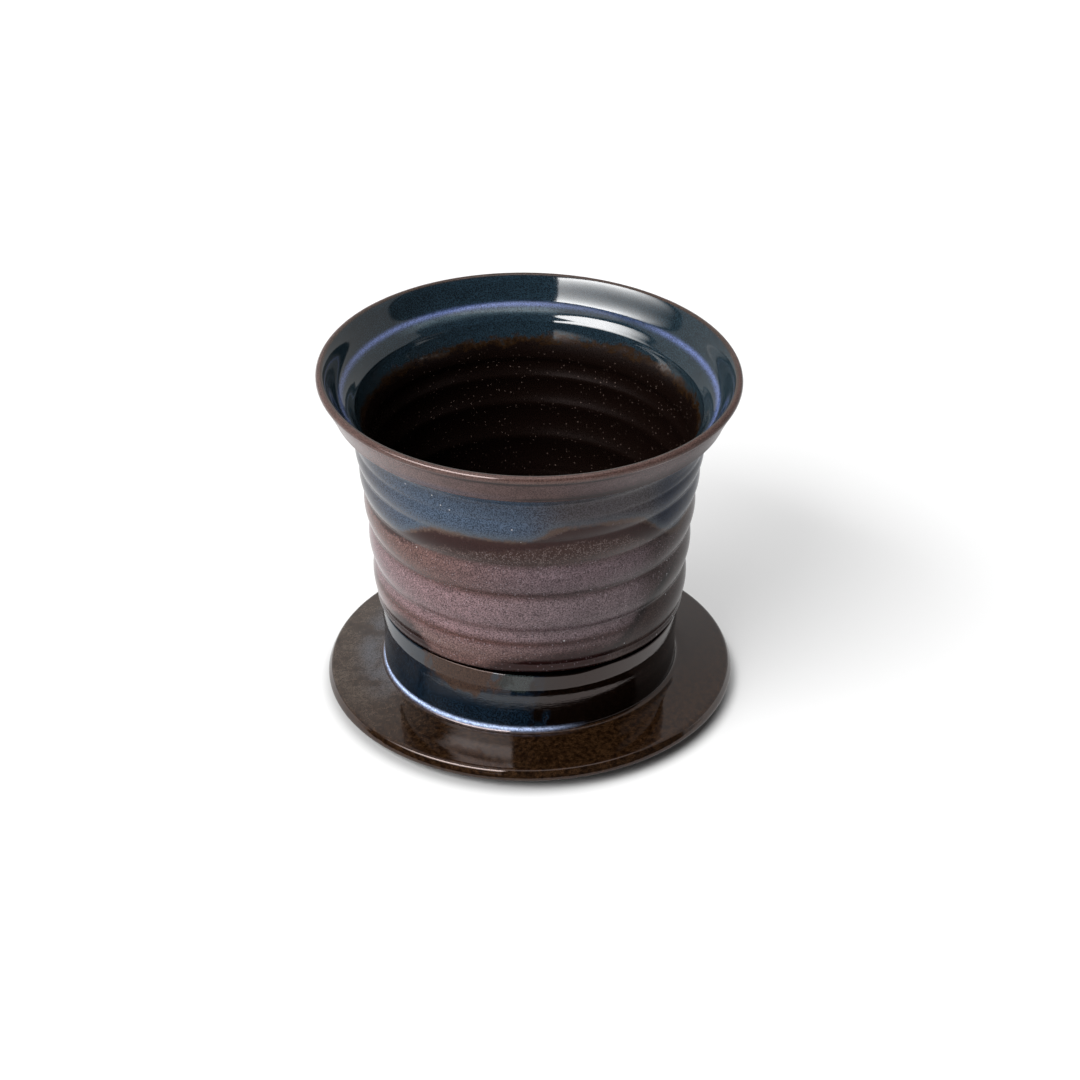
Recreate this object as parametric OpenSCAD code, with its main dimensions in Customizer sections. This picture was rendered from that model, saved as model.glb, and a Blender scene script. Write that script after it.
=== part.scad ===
// Warming pot with the collared stand it sits in: two wheel-thrown, glazed
// stoneware pieces. The pot drops into the stand's collar on a turned foot and
// lifts straight out. Millimetres, +Z up; the origin is on the turning axis, in
// the plane of the stand's foot ring.

/* [Pot] */
// Radius of the pot over its rounded lip
lip_r = 65; // [63:0.5:70]
// Height of the top of the lip above the table
lip_top = 112; // [108:0.5:120]
// Radius of the neck, under the flaring rim
neck_r = 53.7; // [52:0.1:55]
// Radius of the shoulder just above the stand's collar
shoulder_r = 47.9; // [47.5:0.1:49.5]
// Thickness of the thrown wall
wall = 3.6; // [3:0.1:4.2]
// Thickness of the pot's floor
floor_t = 5; // [4:0.5:7]
// How far a throwing ring swells past the grooves beside it
swell = 1; // [0.4:0.05:1.2]

/* [Stand] */
// Radius of the stand's brim
brim_r = 64.1; // [60:0.1:68]
// Height of the top of the brim at its edge
brim_top = 7.1; // [7:0.1:8.5]
// Outer radius of the stand's collar
collar_r = 46.5; // [46:0.1:47]
// Thickness of the collar's wall
collar_t = 3.2; // [2.6:0.1:3.6]
// Height of the top of the collar above the table
collar_top = 30.7; // [29:0.1:32]
// Height of the floor inside the collar
socket_floor = 8; // [7:0.1:10]

/* [Fit] */
// Gap all round between the pot's foot and the collar
foot_gap = 0.7; // [0.4:0.1:1.2]
// Open gap between the collar and the shoulder above it
seam_gap = 1.5; // [1:0.1:2.5]

/* [Hidden] */

$fn = 128;              // facets of a preview; the revolved faces are true ones
arc_steps = 5;          // straight pieces in a small rounded corner
ring_steps = 8;         // straight pieces in one throwing ring
curve_steps = 8;        // straight pieces in a flowing curve
corner = 1;             // radius of small turned corners

// Foot: stands on the socket's floor, and is hollowed inside its ring
foot_r = collar_r - collar_t - foot_gap;
foot_ring = 4.6;                        // width of the ring, corners included
foot_hollow = 3.5;                      // depth of the hollow
floor_top = socket_floor + foot_hollow + floor_t;

// Ringed wall, from the rounded shoulder up to the neck
shoulder_z = collar_top + seam_gap;
shoulder_round = 1.5;
wall_z = shoulder_z + shoulder_round;
neck_z = lip_top - 23;
grooves = [0, 0.027, 0.249, 0.486, 0.696, 0.862, 1];    // as shares of its height
first_inner_ring = 2;                   // below it the inside is a plain bowl
taper = 1.6;                            // the wall widens faster as it rises

// Rim: a bead on a sloping band, which ends below in an undercut edge
bead = 1.3;
bead_c = [lip_r - bead, lip_top - bead];
band_edge = [lip_r - 4.5, lip_top - 10.2];
band_lip = 0.5;                         // how far the band's edge stands proud
throat = [neck_r - 0.6, band_edge[1] - 2.6];        // where the inside starts to flare
pool = [band_edge[0] - 2.1, band_edge[1] + 2.9];    // the hollow the glaze pools in

// Stand
brim_t = 3.5;                           // thickness of the brim at its edge
brim_rise = 2;                          // the brim climbs this much to the collar
brim_lean = 0.8;                        // its outer face leans in this much at the top
fillet = 1.6;                           // corner between the brim and the collar
waist = 0.5;                            // the collar is this much slimmer low down
collar_edge = 0.5;                      // radius of the collar's upper outer edge
plate_z = 4;                            // underside of the stand's floor
ring_in = 45;                           // foot ring, inside and outside
ring_out = 49.5;
brim_slope = atan(brim_rise / (brim_r - brim_lean - collar_r - fillet));

function mix(a, b, t) = a + (b - a) * t;

function reversed(list) = [for (i = [len(list) - 1 : -1 : 0]) list[i]];

function arc(c, r, a0, a1, n = arc_steps) =
    [for (i = [0 : n]) let (a = mix(a0, a1, i / n)) c + r * [cos(a), sin(a)]];

// A smooth curve from a to d that leaves towards b and arrives from c
function curve(a, b, c, d, n = curve_steps) =
    [for (i = [0 : n]) let (t = i / n, s = 1 - t)
        s * s * s * a + 3 * s * s * t * b + 3 * s * t * t * c + t * t * t * d];

function groove_r(t) = mix(shoulder_r, neck_r, pow(t, taper));

// A taller ring swells further
function ring_swell(i) = swell * min(1.3, (grooves[i + 1] - grooves[i]) / 0.2);

// Points up the ringed wall from ring `first`. `share` scales the swelling, and
// `inset` moves the whole wall inward
function rings(first, share, inset) =
    [for (i = [first : len(grooves) - 2], k = [0 : ring_steps - 1])
        let (u = k / ring_steps, t = mix(grooves[i], grooves[i + 1], u))
            [groove_r(t) + share * ring_swell(i) * sin(180 * u) - inset,
             mix(wall_z, neck_z, t)]];

// Outside of the rim: up the neck, under the flange and over the bead
function rim_outside() = concat(
    curve([neck_r, neck_z],
          [neck_r + 0.75, neck_z + 2.2],
          [neck_r + 0.3, band_edge[1] - 6.6],
          [neck_r + 1.5, band_edge[1] - 4.4]),
    curve([neck_r + 1.7, band_edge[1] - 4.2],
          [neck_r + 3, band_edge[1] - 3],
          [band_edge[0] - 2.4, band_edge[1] - 1.8],
          band_edge - band_lip * [1, 1]),
    [band_edge],
    arc(bead_c, bead, -36, 196, 12));

// Inside of the rim: down the flare to the pool, over a shelf and into the throat
function rim_inside() = concat(
    curve(bead_c + [-1.3, -0.6],
          bead_c + [-2.1, -3],
          pool + [1.2, 2.2],
          pool),
    curve(pool - [0.5, 0.5],
          pool - [1.6, 1.2],
          throat + [1.6, 2.3],
          throat),
    curve(throat - [0.4, 0.6],
          throat - [1.6, 3.4],
          [neck_r - wall + 0.3, neck_z + 4],
          [neck_r - wall, neck_z + 0.5]));

// Inside of the pot below the rings: a bowl that closes in to the floor
function bowl_inside() = let (top = wall_z + grooves[first_inner_ring] * (neck_z - wall_z))
    concat(
        curve([groove_r(grooves[first_inner_ring]) - wall - 0.1, top - 1],
              [shoulder_r - wall, top - 8],
              [foot_r - wall - 0.5, shoulder_z + 3],
              [foot_r - wall - 1.2, shoulder_z - 5]),
        arc([foot_r - wall - 9, floor_top + 7], 7, -12, -90, 7));

pot_outline = concat(
    [[0, socket_floor + foot_hollow]],
    arc([foot_r - foot_ring - corner, socket_floor + foot_hollow - corner], corner, 90, 0),
    arc([foot_r - foot_ring + corner, socket_floor + corner], corner, 180, 270),
    arc([foot_r - corner, socket_floor + corner], corner, 270, 360),
    arc([foot_r + corner, shoulder_z - corner], corner, 180, 90),
    arc([shoulder_r - shoulder_round, wall_z], shoulder_round, 270, 352),
    rings(0, 1, 0),
    rim_outside(),
    rim_inside(),
    reversed(rings(first_inner_ring, 0.7, wall)),
    bowl_inside(),
    [[0, floor_top]]);

// The brim's outer face, upwards from its small lower corner
brim_edge = concat(
    curve([brim_r - 0.9, brim_top - brim_t],
          [brim_r - 0.3, brim_top - brim_t],
          [brim_r, brim_top - brim_t + 0.2],
          [brim_r, brim_top - brim_t + 0.7], 4),
    curve([brim_r - 0.1, brim_top - brim_t + 1.4],
          [brim_r - 0.3, brim_top - 1.7],
          [brim_r - brim_lean + 0.2, brim_top - 1.3],
          [brim_r - brim_lean, brim_top - 0.8], 4),
    curve([brim_r - brim_lean - 0.1, brim_top - 0.6],
          [brim_r - brim_lean - 0.3, brim_top - 0.3],
          [brim_r - brim_lean - 0.6, brim_top - 0.1],
          [brim_r - brim_lean - 1.1, brim_top], 4));

// The collar's outside, upwards: a slightly slimmer lower part, then a throwing line
collar_wall = [
    [collar_r - waist - 0.1, collar_top - 16],
    [collar_r - waist - 0.1, collar_top - 13.4],
    [collar_r - waist, collar_top - 11],
    [collar_r - waist, collar_top - 8.8],
    [collar_r - waist + 0.1, collar_top - 7.8],
    [collar_r - 0.1, collar_top - 6.4],
    [collar_r, collar_top - 5.4]];

stand_outline = concat(
    [[0, plate_z]],
    arc([ring_in - corner, plate_z - corner], corner, 90, 0),
    arc([ring_in + corner, corner], corner, 180, 270),
    arc([ring_out - corner, corner], corner, 270, 360),
    arc([ring_out + corner, brim_top - brim_t + brim_rise / 2 - corner], corner, 180, 98),
    brim_edge,
    arc([collar_r - waist + fillet, brim_top + brim_rise + fillet], fillet,
        270 - brim_slope, 180),
    collar_wall,
    arc([collar_r - collar_edge, collar_top - collar_edge], collar_edge, 0, 90, 3),
    arc([collar_r - collar_t + corner, collar_top - corner], corner, 90, 180),
    arc([collar_r - collar_t - corner, socket_floor + corner], corner, 0, -90),
    [[0, socket_floor]]);

module stand() {
    color("#3a2a1e") rotate_extrude() polygon(stand_outline);
}

module pot() {
    color("#5d4d4c") rotate_extrude() polygon(pot_outline);
}

stand();
pot();
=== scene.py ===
"""A wheel-thrown warming pot seated in its collared stand, both in glazed stoneware.

Each piece is one closed, turned mesh that stands for its CAD node. A piece is drawn as an outline of
(radius, height) points in millimetres, turned about the axis, and then made uneven the way a thrown pot
is. Numbers about the glaze are kept per vertex, and the materials mix the colours from them.
"""
import math

import bpy
import numpy as np
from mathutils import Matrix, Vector


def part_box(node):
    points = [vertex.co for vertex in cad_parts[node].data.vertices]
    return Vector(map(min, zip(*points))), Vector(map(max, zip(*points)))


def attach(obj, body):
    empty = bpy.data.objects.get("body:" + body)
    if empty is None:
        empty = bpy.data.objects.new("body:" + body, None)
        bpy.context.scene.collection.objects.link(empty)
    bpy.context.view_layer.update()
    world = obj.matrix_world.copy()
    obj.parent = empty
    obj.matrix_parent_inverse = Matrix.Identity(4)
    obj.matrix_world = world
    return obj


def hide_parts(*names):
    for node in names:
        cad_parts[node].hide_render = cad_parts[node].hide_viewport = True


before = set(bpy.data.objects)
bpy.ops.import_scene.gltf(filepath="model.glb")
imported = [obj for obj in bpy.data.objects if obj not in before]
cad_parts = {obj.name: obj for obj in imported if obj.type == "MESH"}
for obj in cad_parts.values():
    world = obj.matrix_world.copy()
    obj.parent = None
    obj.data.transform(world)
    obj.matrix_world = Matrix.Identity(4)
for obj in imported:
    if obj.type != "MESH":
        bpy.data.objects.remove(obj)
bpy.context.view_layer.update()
MM = 0.001
SEGMENTS = 216

# ---------------------------------------------------------------- sizes, in millimetres
LIP_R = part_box("pot")[1].x / MM              # radius over the lip
TOP_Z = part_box("pot")[1].z / MM              # highest point of the lip
SEAT_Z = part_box("pot")[0].z / MM             # the pot's foot stands at this height
COLLAR_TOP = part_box("stand")[1].z / MM
BRIM_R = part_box("stand")[1].x / MM

POT_SLANT = 0.0205                           # the pot's rings drop this much per mm towards +X
LIP_SLANT = 0.0185                           # and its lip a little less
BRIM_SLANT = -0.008                          # the brim rises a little towards +X
LIP_Z = TOP_Z - LIP_SLANT * LIP_R            # mean height of the lip's top

SHOULDER_Z = COLLAR_TOP + 1.35               # the shoulder hangs just clear of the stand's collar
SHOULDER_R = 47.9
SHOULDER_ROUND = 1.5                         # radius of the shoulder's lower edge
WALL_Z = SHOULDER_Z + SHOULDER_ROUND         # the ringed wall starts here
NECK_Z = 89.0                                # and ends here, under the rim
NECK_R = 53.7
GROOVES = (0.0, 0.027, 0.249, 0.486, 0.696, 0.862, 1.0)   # as shares of the ringed wall's height
SWELL = 1.0                                  # how far a ring stands out if it's RING_SHARE of that height
RING_SHARE = 0.2
SWELL_MOST = 1.3                             # limit for taller rings, as a multiple of SWELL
SHARPNESS = 0.375                            # lower makes the grooves between the rings sharper
GROOVE_SOFT = 0.01                           # higher rounds the grooves' bottoms
TAPER = 1.6                                  # above 1, the wall flares more towards its top
WALL = 3.6                                   # the wall's thickness
BEAD = 1.3                                   # radius of the bead along the lip
FOOT_R = 42.6
FOOT_RING = 4.6                              # width of the ring that the pot stands on
FOOT_HOLLOW = 3.5                            # depth of the hollow inside that ring
FLOOR_T = 5.0
FLOOR_Z = SEAT_Z + FOOT_HOLLOW + FLOOR_T
FLOOR_ROUND = 7.0                            # radius between the floor and the wall inside
CORNER = 1.0                                 # radius of the small edges

COLLAR_R = 46.5
COLLAR_T = 3.2
COLLAR_STEP = 0.45                           # below its top band, the collar is slimmer by this much
COLLAR_EDGE = 0.45                           # radius of its outer top edge
BRIM_Z = 7.1                                 # top of the brim at its edge
BRIM_T = 3.5
BRIM_LEAN = 0.8                              # the brim's outer face leans in this much towards its top
BRIM_RISE = 2.0                              # the brim's top rises this much towards the collar
FILLET = 1.6                                 # radius between brim and collar
PLATE_Z = 4.0                                # underside of the stand inside its foot ring
RING_IN, RING_OUT = 45.0, 49.5               # radii of the stand's foot ring


# ---------------------------------------------------------------- colours
WALL_GLOSS = 0.022                           # light that the wall's surface throws back, 1 being white
WALL_LIGHT = 1.8                             # light on the wall, as a multiple of its base colour


def seen(red, green, blue):
    """Base colour of a glaze on the wall that looks like this sRGB colour in this scene's light."""
    shown = [v / 255 for v in (red, green, blue)]
    linear = [((v + 0.055) / 1.055) ** 2.4 for v in shown]
    return tuple(max((v - WALL_GLOSS) / WALL_LIGHT, 0.0015) for v in linear)


# ---------------------------------------------------------------- outlines
def off(point, across, up):
    """The point this far from another, outwards and upwards."""
    return point[0] + across, point[1] + up


def spread(points, step):
    """The same open line with its points about step mm apart, its corners kept."""
    out = [points[0]]
    for a, b in zip(points, points[1:]):
        parts = max(1, round(math.dist(a, b) / step))
        out += [off(a, (b[0] - a[0]) * k / parts, (b[1] - a[1]) * k / parts) for k in range(1, parts + 1)]
    return out


def arc(centre, radius, start, end, steps=7):
    """Points along an arc, with its angles in degrees."""
    turns = [math.radians(start + (end - start) * k / steps) for k in range(steps + 1)]
    return [off(centre, radius * math.cos(t), radius * math.sin(t)) for t in turns]


def curve(start, leave, arrive, end, steps=24):
    """A smooth curve from start to end that leaves towards one point and arrives from another."""
    out = []
    for k in range(steps + 1):
        t = k / steps
        s = 1 - t
        shares = ((s ** 3, start), (3 * s * s * t, leave), (3 * s * t * t, arrive), (t ** 3, end))
        out.append(tuple(sum(share * point[axis] for share, point in shares) for axis in (0, 1)))
    return out


def joined(*lines):
    """One line from several, without the doubled points where they meet."""
    out = []
    for line in lines:
        out += [p for p in line if not out or math.dist(p, out[-1]) > 0.02]
    return out


def wall_radius(height, share=1.0):
    """Radius of the ringed wall at a height. share scales how far the rings swell."""
    t = np.clip((height - WALL_Z) / (NECK_Z - WALL_Z), 0, 1)
    radius = SHOULDER_R + (NECK_R - SHOULDER_R) * t ** TAPER
    bed, crest = GROOVE_SOFT ** SHARPNESS, (1 + GROOVE_SOFT) ** SHARPNESS
    for low, high in zip(GROOVES, GROOVES[1:]):
        u = np.clip((t - low) / (high - low), 0, 1)
        swell = SWELL * min(SWELL_MOST, (high - low) / RING_SHARE)
        round_top = (np.sin(np.pi * u) ** 2 + GROOVE_SOFT) ** SHARPNESS
        radius = radius + share * swell * (round_top - bed) / (crest - bed)
    return radius


# Places on the rim, as (radius, height)
BAND_EDGE = (60.5, LIP_Z - 10.1)             # lower edge of the sloping band under the lip
BEAD_C = (LIP_R - BEAD, LIP_Z - BEAD)
FLARE_TOP = (62.75, LIP_Z - 0.4)             # the inside of the rim, downwards
POOL = (58.4, LIP_Z - 7.3)
THROAT = (54.1, LIP_Z - 11.1)
THROAT_LOW = (53.1, LIP_Z - 12.8)


def pot_outline():
    """(radius, height) from the middle of the foot's hollow, up the outside, over the lip and down inside.
    Also the number of the point at the top of the lip."""
    hollow = SEAT_Z + FOOT_HOLLOW
    ring_in = FOOT_R - FOOT_RING
    foot = joined(
        spread([(0, hollow), (ring_in - CORNER, hollow)], 2.4),
        arc((ring_in - CORNER, hollow - CORNER), CORNER, 90, 0),
        arc((ring_in + CORNER, SEAT_Z + CORNER), CORNER, 180, 270),
        arc((FOOT_R - CORNER, SEAT_Z + CORNER), CORNER, 270, 360),
        spread([(FOOT_R, SEAT_Z + CORNER), (FOOT_R, SHOULDER_Z - CORNER)], 2.2),
        arc((FOOT_R + CORNER, SHOULDER_Z - CORNER), CORNER, 180, 90),
        arc((SHOULDER_R - SHOULDER_ROUND, WALL_Z), SHOULDER_ROUND, 270, 350, 9))
    heights = np.linspace(WALL_Z + 0.1, NECK_Z, 118)
    wall = [(float(r), float(z)) for r, z in zip(wall_radius(heights), heights)]

    neck = (NECK_R, NECK_Z)
    under_band = (NECK_R + 1.2, BAND_EDGE[1] - 4.9)
    tuck = off(BAND_EDGE, -0.5, -0.75)
    band_low = off(BAND_EDGE, 0.1, 0)
    band_high = (LIP_R - 0.62, LIP_Z - 2.5)
    bead_low = off(BEAD_C, BEAD * math.cos(-0.5), BEAD * math.sin(-0.5))
    rim = joined(
        curve(neck, off(neck, 0.75, 2.2), off(under_band, -0.9, -1.7), under_band, 16),
        curve(under_band, off(under_band, 1.0, 1.3), off(tuck, -2.1, -1.45), tuck, 16),
        curve(tuck, off(tuck, 0.35, 0.25), off(band_low, -0.05, -0.3), band_low, 5),
        curve(band_low, off(band_low, 1.1, 2.6), off(band_high, -0.88, -1.9), band_high, 20),
        curve(band_high, off(band_high, 0.12, 0.3), off(band_high, 0.17, 0.5), bead_low, 5),
        arc(BEAD_C, BEAD, -24, 90, 12))
    outside = joined(foot, wall, rim)

    bead_inside = (LIP_R - BEAD - 0.34, LIP_Z - 0.04)
    shelf = off(POOL, -2.1, -1.6)
    inner_neck = (NECK_R - WALL - 0.5, NECK_Z - 1.2)
    flare = joined(
        arc(BEAD_C, BEAD, 90, 105, 3),
        curve(bead_inside, off(bead_inside, -0.36, -0.08), off(FLARE_TOP, 0.25, 0.26), FLARE_TOP, 7),
        curve(FLARE_TOP, off(FLARE_TOP, -1.67, -1.73), off(POOL, 1.67, 1.73), POOL, 26),
        curve(POOL, off(POOL, -0.8, -0.83), off(POOL, -1.6, -1.25), shelf, 10),
        curve(shelf, off(shelf, -0.9, -0.65), off(THROAT, 0.7, 0.72), THROAT, 12),
        curve(THROAT, off(THROAT, -1.0, -1.03), off(THROAT_LOW, 0.45, 1.0), THROAT_LOW, 14),
        curve(THROAT_LOW, off(THROAT_LOW, -0.75, -2.4), off(inner_neck, 0.4, 4.2), inner_neck, 22))

    low = WALL_Z + GROOVES[2] * (NECK_Z - WALL_Z)
    heights = np.linspace(NECK_Z - 2.4, low + 0.5, 52)
    inner_wall = [(float(r) - WALL, float(z)) for r, z in zip(wall_radius(heights), heights)]
    foot_inside = FOOT_R - WALL
    bowl = joined(
        curve((float(wall_radius(low)) - WALL, low), (SHOULDER_R - WALL, low - 9),
              (foot_inside - 0.5, SHOULDER_Z + 3), (foot_inside - 1.2, SHOULDER_Z - 5), 18),
        arc((foot_inside - 9, FLOOR_Z + FLOOR_ROUND), FLOOR_ROUND, -12, -90, 8),
        spread([(foot_inside - 9, FLOOR_Z), (0, FLOOR_Z)], 2.4))
    return joined(outside, flare, inner_wall, bowl), len(outside) - 1


def stand_outline():
    """(radius, height) from under the middle of the stand, round its foot ring and brim, up the collar
    and down inside it."""
    slope = math.degrees(math.atan2(BRIM_RISE, BRIM_R - BRIM_LEAN - COLLAR_R - FILLET))
    under = BRIM_Z - BRIM_T + BRIM_RISE / 2
    brim_low = (BRIM_R - 0.9, BRIM_Z - BRIM_T)
    face_low = (BRIM_R, BRIM_Z - BRIM_T + 0.7)
    face_high = (BRIM_R - BRIM_LEAN, BRIM_Z - 0.85)
    brim_high = (BRIM_R - BRIM_LEAN - 1.1, BRIM_Z)
    edge = joined(
        spread([(0, PLATE_Z), (RING_IN - CORNER, PLATE_Z)], 2.4),
        arc((RING_IN - CORNER, PLATE_Z - CORNER), CORNER, 90, 0),
        arc((RING_IN + CORNER, CORNER), CORNER, 180, 270),
        arc((RING_OUT - CORNER, CORNER), CORNER, 270, 360),
        arc((RING_OUT + CORNER, under - CORNER), CORNER, 180, 98),
        spread([(RING_OUT + CORNER, under), brim_low], 1.6)[1:],
        curve(brim_low, off(brim_low, 0.6, 0), off(face_low, 0, -0.5), face_low, 7),
        curve(face_low, off(face_low, -0.1, 0.7), off(face_high, 0.25, -0.55), face_high, 8),
        curve(face_high, off(face_high, -0.15, 0.4), off(brim_high, 0.55, -0.1), brim_high, 8),
        spread([brim_high, (COLLAR_R + FILLET + 0.2, BRIM_Z + BRIM_RISE)], 0.55))

    slim = COLLAR_R - COLLAR_STEP
    collar_low = (slim, BRIM_Z + BRIM_RISE + FILLET + 0.2)
    waist = (slim, COLLAR_TOP - 10.5)
    widening = (slim + 0.27, COLLAR_TOP - 6.7)
    band_low = (COLLAR_R, COLLAR_TOP - 4.6)
    bore = COLLAR_R - COLLAR_T
    collar = joined(
        arc((slim + FILLET, BRIM_Z + BRIM_RISE + FILLET), FILLET, 270 - slope, 182, 9),
        curve(collar_low, (slim + 0.05, COLLAR_TOP - 16), off(waist, -0.1, -3.5), waist, 18),
        curve(waist, off(waist, 0.04, 1.9), off(widening, -0.19, -1.2), widening, 10),
        curve(widening, off(widening, 0.15, 0.9), off(band_low, 0, -1.0), band_low, 8),
        spread([band_low, (COLLAR_R, COLLAR_TOP - COLLAR_EDGE)], 0.6),
        arc((COLLAR_R - COLLAR_EDGE, COLLAR_TOP - COLLAR_EDGE), COLLAR_EDGE, 0, 90, 8),
        arc((bore + CORNER, COLLAR_TOP - CORNER), CORNER, 90, 180),
        spread([(bore, COLLAR_TOP - CORNER), (bore, SEAT_Z + CORNER)], 2.2),
        arc((bore - CORNER, SEAT_Z + CORNER), CORNER, 0, -90),
        spread([(bore - CORNER, SEAT_Z), (0, SEAT_Z)], 2.4))
    return joined(edge, collar)


# ---------------------------------------------------------------- turning
def turned(name, outline, shape, numbers):
    """A closed mesh from an outline that starts and ends on the axis.

    shape(radius, height, turn, along) gives the uneven x, y, z of every point, and numbers(...) the
    values kept per vertex. turn is 0 at the front and grows towards +X. along counts the outline's points.
    """
    rows = len(outline) - 2
    line = np.array(outline[1:-1])
    turn = np.linspace(0, 2 * np.pi, SEGMENTS, endpoint=False)
    radius, turns = np.meshgrid(line[:, 0], turn, indexing="ij")
    height = np.repeat(line[:, 1:], SEGMENTS, axis=1)
    along = np.repeat(np.arange(1, rows + 1)[:, None], SEGMENTS, axis=1)
    ends = [np.array([[p[0]], [p[1]], [0.0], [k]]) for p, k in ((outline[0], 0), (outline[-1], rows + 1))]
    flat = [np.concatenate([a.ravel(), ends[0][i], ends[1][i]])
            for i, a in enumerate((radius, height, turns, along))]
    points = np.stack(shape(*flat), axis=1) * MM
    first, last = rows * SEGMENTS, rows * SEGMENTS + 1
    pairs = [(k, (k + 1) % SEGMENTS) for k in range(SEGMENTS)]
    faces = [(first, b, a) for a, b in pairs]
    for row in range(rows - 1):
        base, above = row * SEGMENTS, (row + 1) * SEGMENTS
        faces += [(base + a, base + b, above + b, above + a) for a, b in pairs]
    top = (rows - 1) * SEGMENTS
    faces += [(top + a, top + b, last) for a, b in pairs]
    mesh = bpy.data.meshes.new(name)
    mesh.from_pydata(points.tolist(), [], faces)
    mesh.polygons.foreach_set("use_smooth", [True] * len(mesh.polygons))
    for key, values in numbers(*flat).items():
        kind, slot = ("FLOAT_COLOR", "color") if values.ndim == 2 else ("FLOAT", "value")
        kept = mesh.attributes.new(key, kind, "POINT")
        kept.data.foreach_set(slot, values.astype(np.float32).ravel())
    mesh.update()
    piece = bpy.data.objects.new(name, mesh)
    bpy.context.collection.objects.link(piece)
    return piece


def ramp(value, low, high):
    """0 below low, 1 above high, smooth between."""
    t = np.clip((value - low) / (high - low), 0, 1)
    return t * t * (3 - 2 * t)


def bump(value, centre, width):
    """1 at the centre, falling off smoothly on both sides."""
    return np.exp(-((value - centre) / width) ** 2)


def degrees(turn):
    """Degrees from the front, -180 to 180, positive towards +X."""
    return (np.degrees(turn) + 180) % 360 - 180


def around(turn, stops):
    """A smooth line all the way round through (degrees, value) stops."""
    angle = np.array([s[0] for s in stops], float)
    value = np.array([s[1] for s in stops], float)
    angle = np.concatenate([angle[-2:] - 360, angle, angle[:2] + 360])
    value = np.concatenate([value[-2:], value, value[:2]])
    x = degrees(turn)
    k = np.clip(np.searchsorted(angle, x) - 1, 1, len(angle) - 3)
    t = (x - angle[k]) / (angle[k + 1] - angle[k])
    slope = (value[2:] - value[:-2]) / (angle[2:] - angle[:-2])
    leave = slope[k - 1] * (angle[k + 1] - angle[k])
    arrive = slope[k] * (angle[k + 1] - angle[k])
    return ((2 * t ** 3 - 3 * t ** 2 + 1) * value[k] + (t ** 3 - 2 * t ** 2 + t) * leave
            + (3 * t ** 2 - 2 * t ** 3) * value[k + 1] + (t ** 3 - t ** 2) * arrive)


# ---------------------------------------------------------------- the pot
POT_LINE, LIP_POINT = pot_outline()

# Part rings that fingers left on one side only: height, width and depth in mm, then from and to degrees
PART_RINGS = (
    (43.3, 0.6, 0.24, -70, 22),
    (45.6, 0.8, 0.07, -80, -30),
    (56.3, 0.7, 0.09, -26, 20),
    (91.4, 1.0, 0.10, 40, 120),
    (66.4, 0.9, 0.10, 110, 230),
    (40.2, 0.8, 0.12, 95, 170),
)


def pot_shape(radius, height, turn, along):
    """The pot's uneven form: rings that wander, part rings, a slightly oval wall, and its slant."""
    outer = (along <= LIP_POINT) & (height > WALL_Z)
    wander = 0.35 * np.sin(turn + 0.6 + height / 31) + 0.22 * np.sin(2 * turn + 1.9 - height / 17)
    on_wall = ramp(height, WALL_Z + 0.5, WALL_Z + 5) * (1 - ramp(height, NECK_Z - 3, NECK_Z + 2))
    share = np.where(along > LIP_POINT, 0.8, 1.0)
    shifted = wall_radius(height + wander, share) - wall_radius(height, share)
    radius = radius + np.where((along < LIP_POINT) | (height > 50), shifted * on_wall, 0)
    for z, width, depth, start, end in PART_RINGS:
        middle, half = (start + end) / 2, (end - start) / 2
        aside = np.abs((np.degrees(turn) - middle + 180) % 360 - 180)
        fade = 1 - ramp(aside, half - 22, half)
        dent = depth * fade * bump(height, z + 0.4 * np.sin(turn * 2), width)
        radius = radius - np.where(outer, dent, 0)
    loose = ramp(height, SHOULDER_Z - 2, WALL_Z + 6)
    oval = 0.16 * np.cos(2 * turn + 0.7) + 0.07 * np.cos(3 * turn + 2.1) - 0.23
    radius = np.where(radius > 1, radius + oval * loose * np.minimum(1, radius / 40), radius)
    x = radius * np.sin(turn)
    y = -radius * np.cos(turn)
    slant = POT_SLANT + (LIP_SLANT - POT_SLANT) * ramp(height, NECK_Z, LIP_Z)
    loose_inside, loose_outside = ramp(height, 30, 60), ramp(height, SHOULDER_Z - 6, SHOULDER_Z - 1.2)
    slant = slant * np.where(along > LIP_POINT, loose_inside, loose_outside)
    edge = 0.16 * np.sin(2 * turn - 0.4) + 0.12 * np.sin(5 * turn + 1)
    on_shoulder = (radius > FOOT_R + 0.9) & (along < LIP_POINT)
    drop = edge * bump(height, SHOULDER_Z, 1.6) * on_shoulder
    return x, y, height - slant * x + drop


# Glaze lines on the outside, as (degrees, height in mm) all the way round. DARK_HALF is half the dark
# line's width, and SALT_LOW and SALT_HIGH bound the salt and pepper under it.
BLUE_LINE = ((-160, 83), (-140, 77), (-118, 75), (-95, 80), (-75, 74), (-60, 74), (-50, 73.5),
             (-43, 76.5), (-36, 80.5), (-28, 82.2), (-14, 82), (0, 82.3), (4, 84), (7, 86.6),
             (18, 86.8), (30, 86.2), (40, 83.5), (48, 77), (58, 72), (72, 74), (90, 79), (110, 84),
             (135, 80), (155, 85), (178, 86))
DARK_LINE = ((-160, 79), (-140, 74.5), (-118, 73), (-95, 76), (-70, 71.5), (-45, 73), (-35, 77),
             (-20, 79), (0, 80.3), (8, 82.2), (18, 83.6), (30, 82.2), (40, 79), (48, 74.5), (58, 70),
             (72, 71), (90, 75), (110, 81), (135, 76.5), (155, 82), (178, 83))
DARK_HALF = ((-160, 1.6), (-120, 0.8), (-95, 1.6), (-70, 0.8), (-45, 2.2), (-30, 2.6), (-10, 1.9),
             (5, 1.9), (15, 3.2), (30, 2.6), (42, 2.8), (52, 1.2), (60, -0.6), (80, -0.4), (100, 1.4),
             (130, 2), (160, 2.2))
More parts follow.
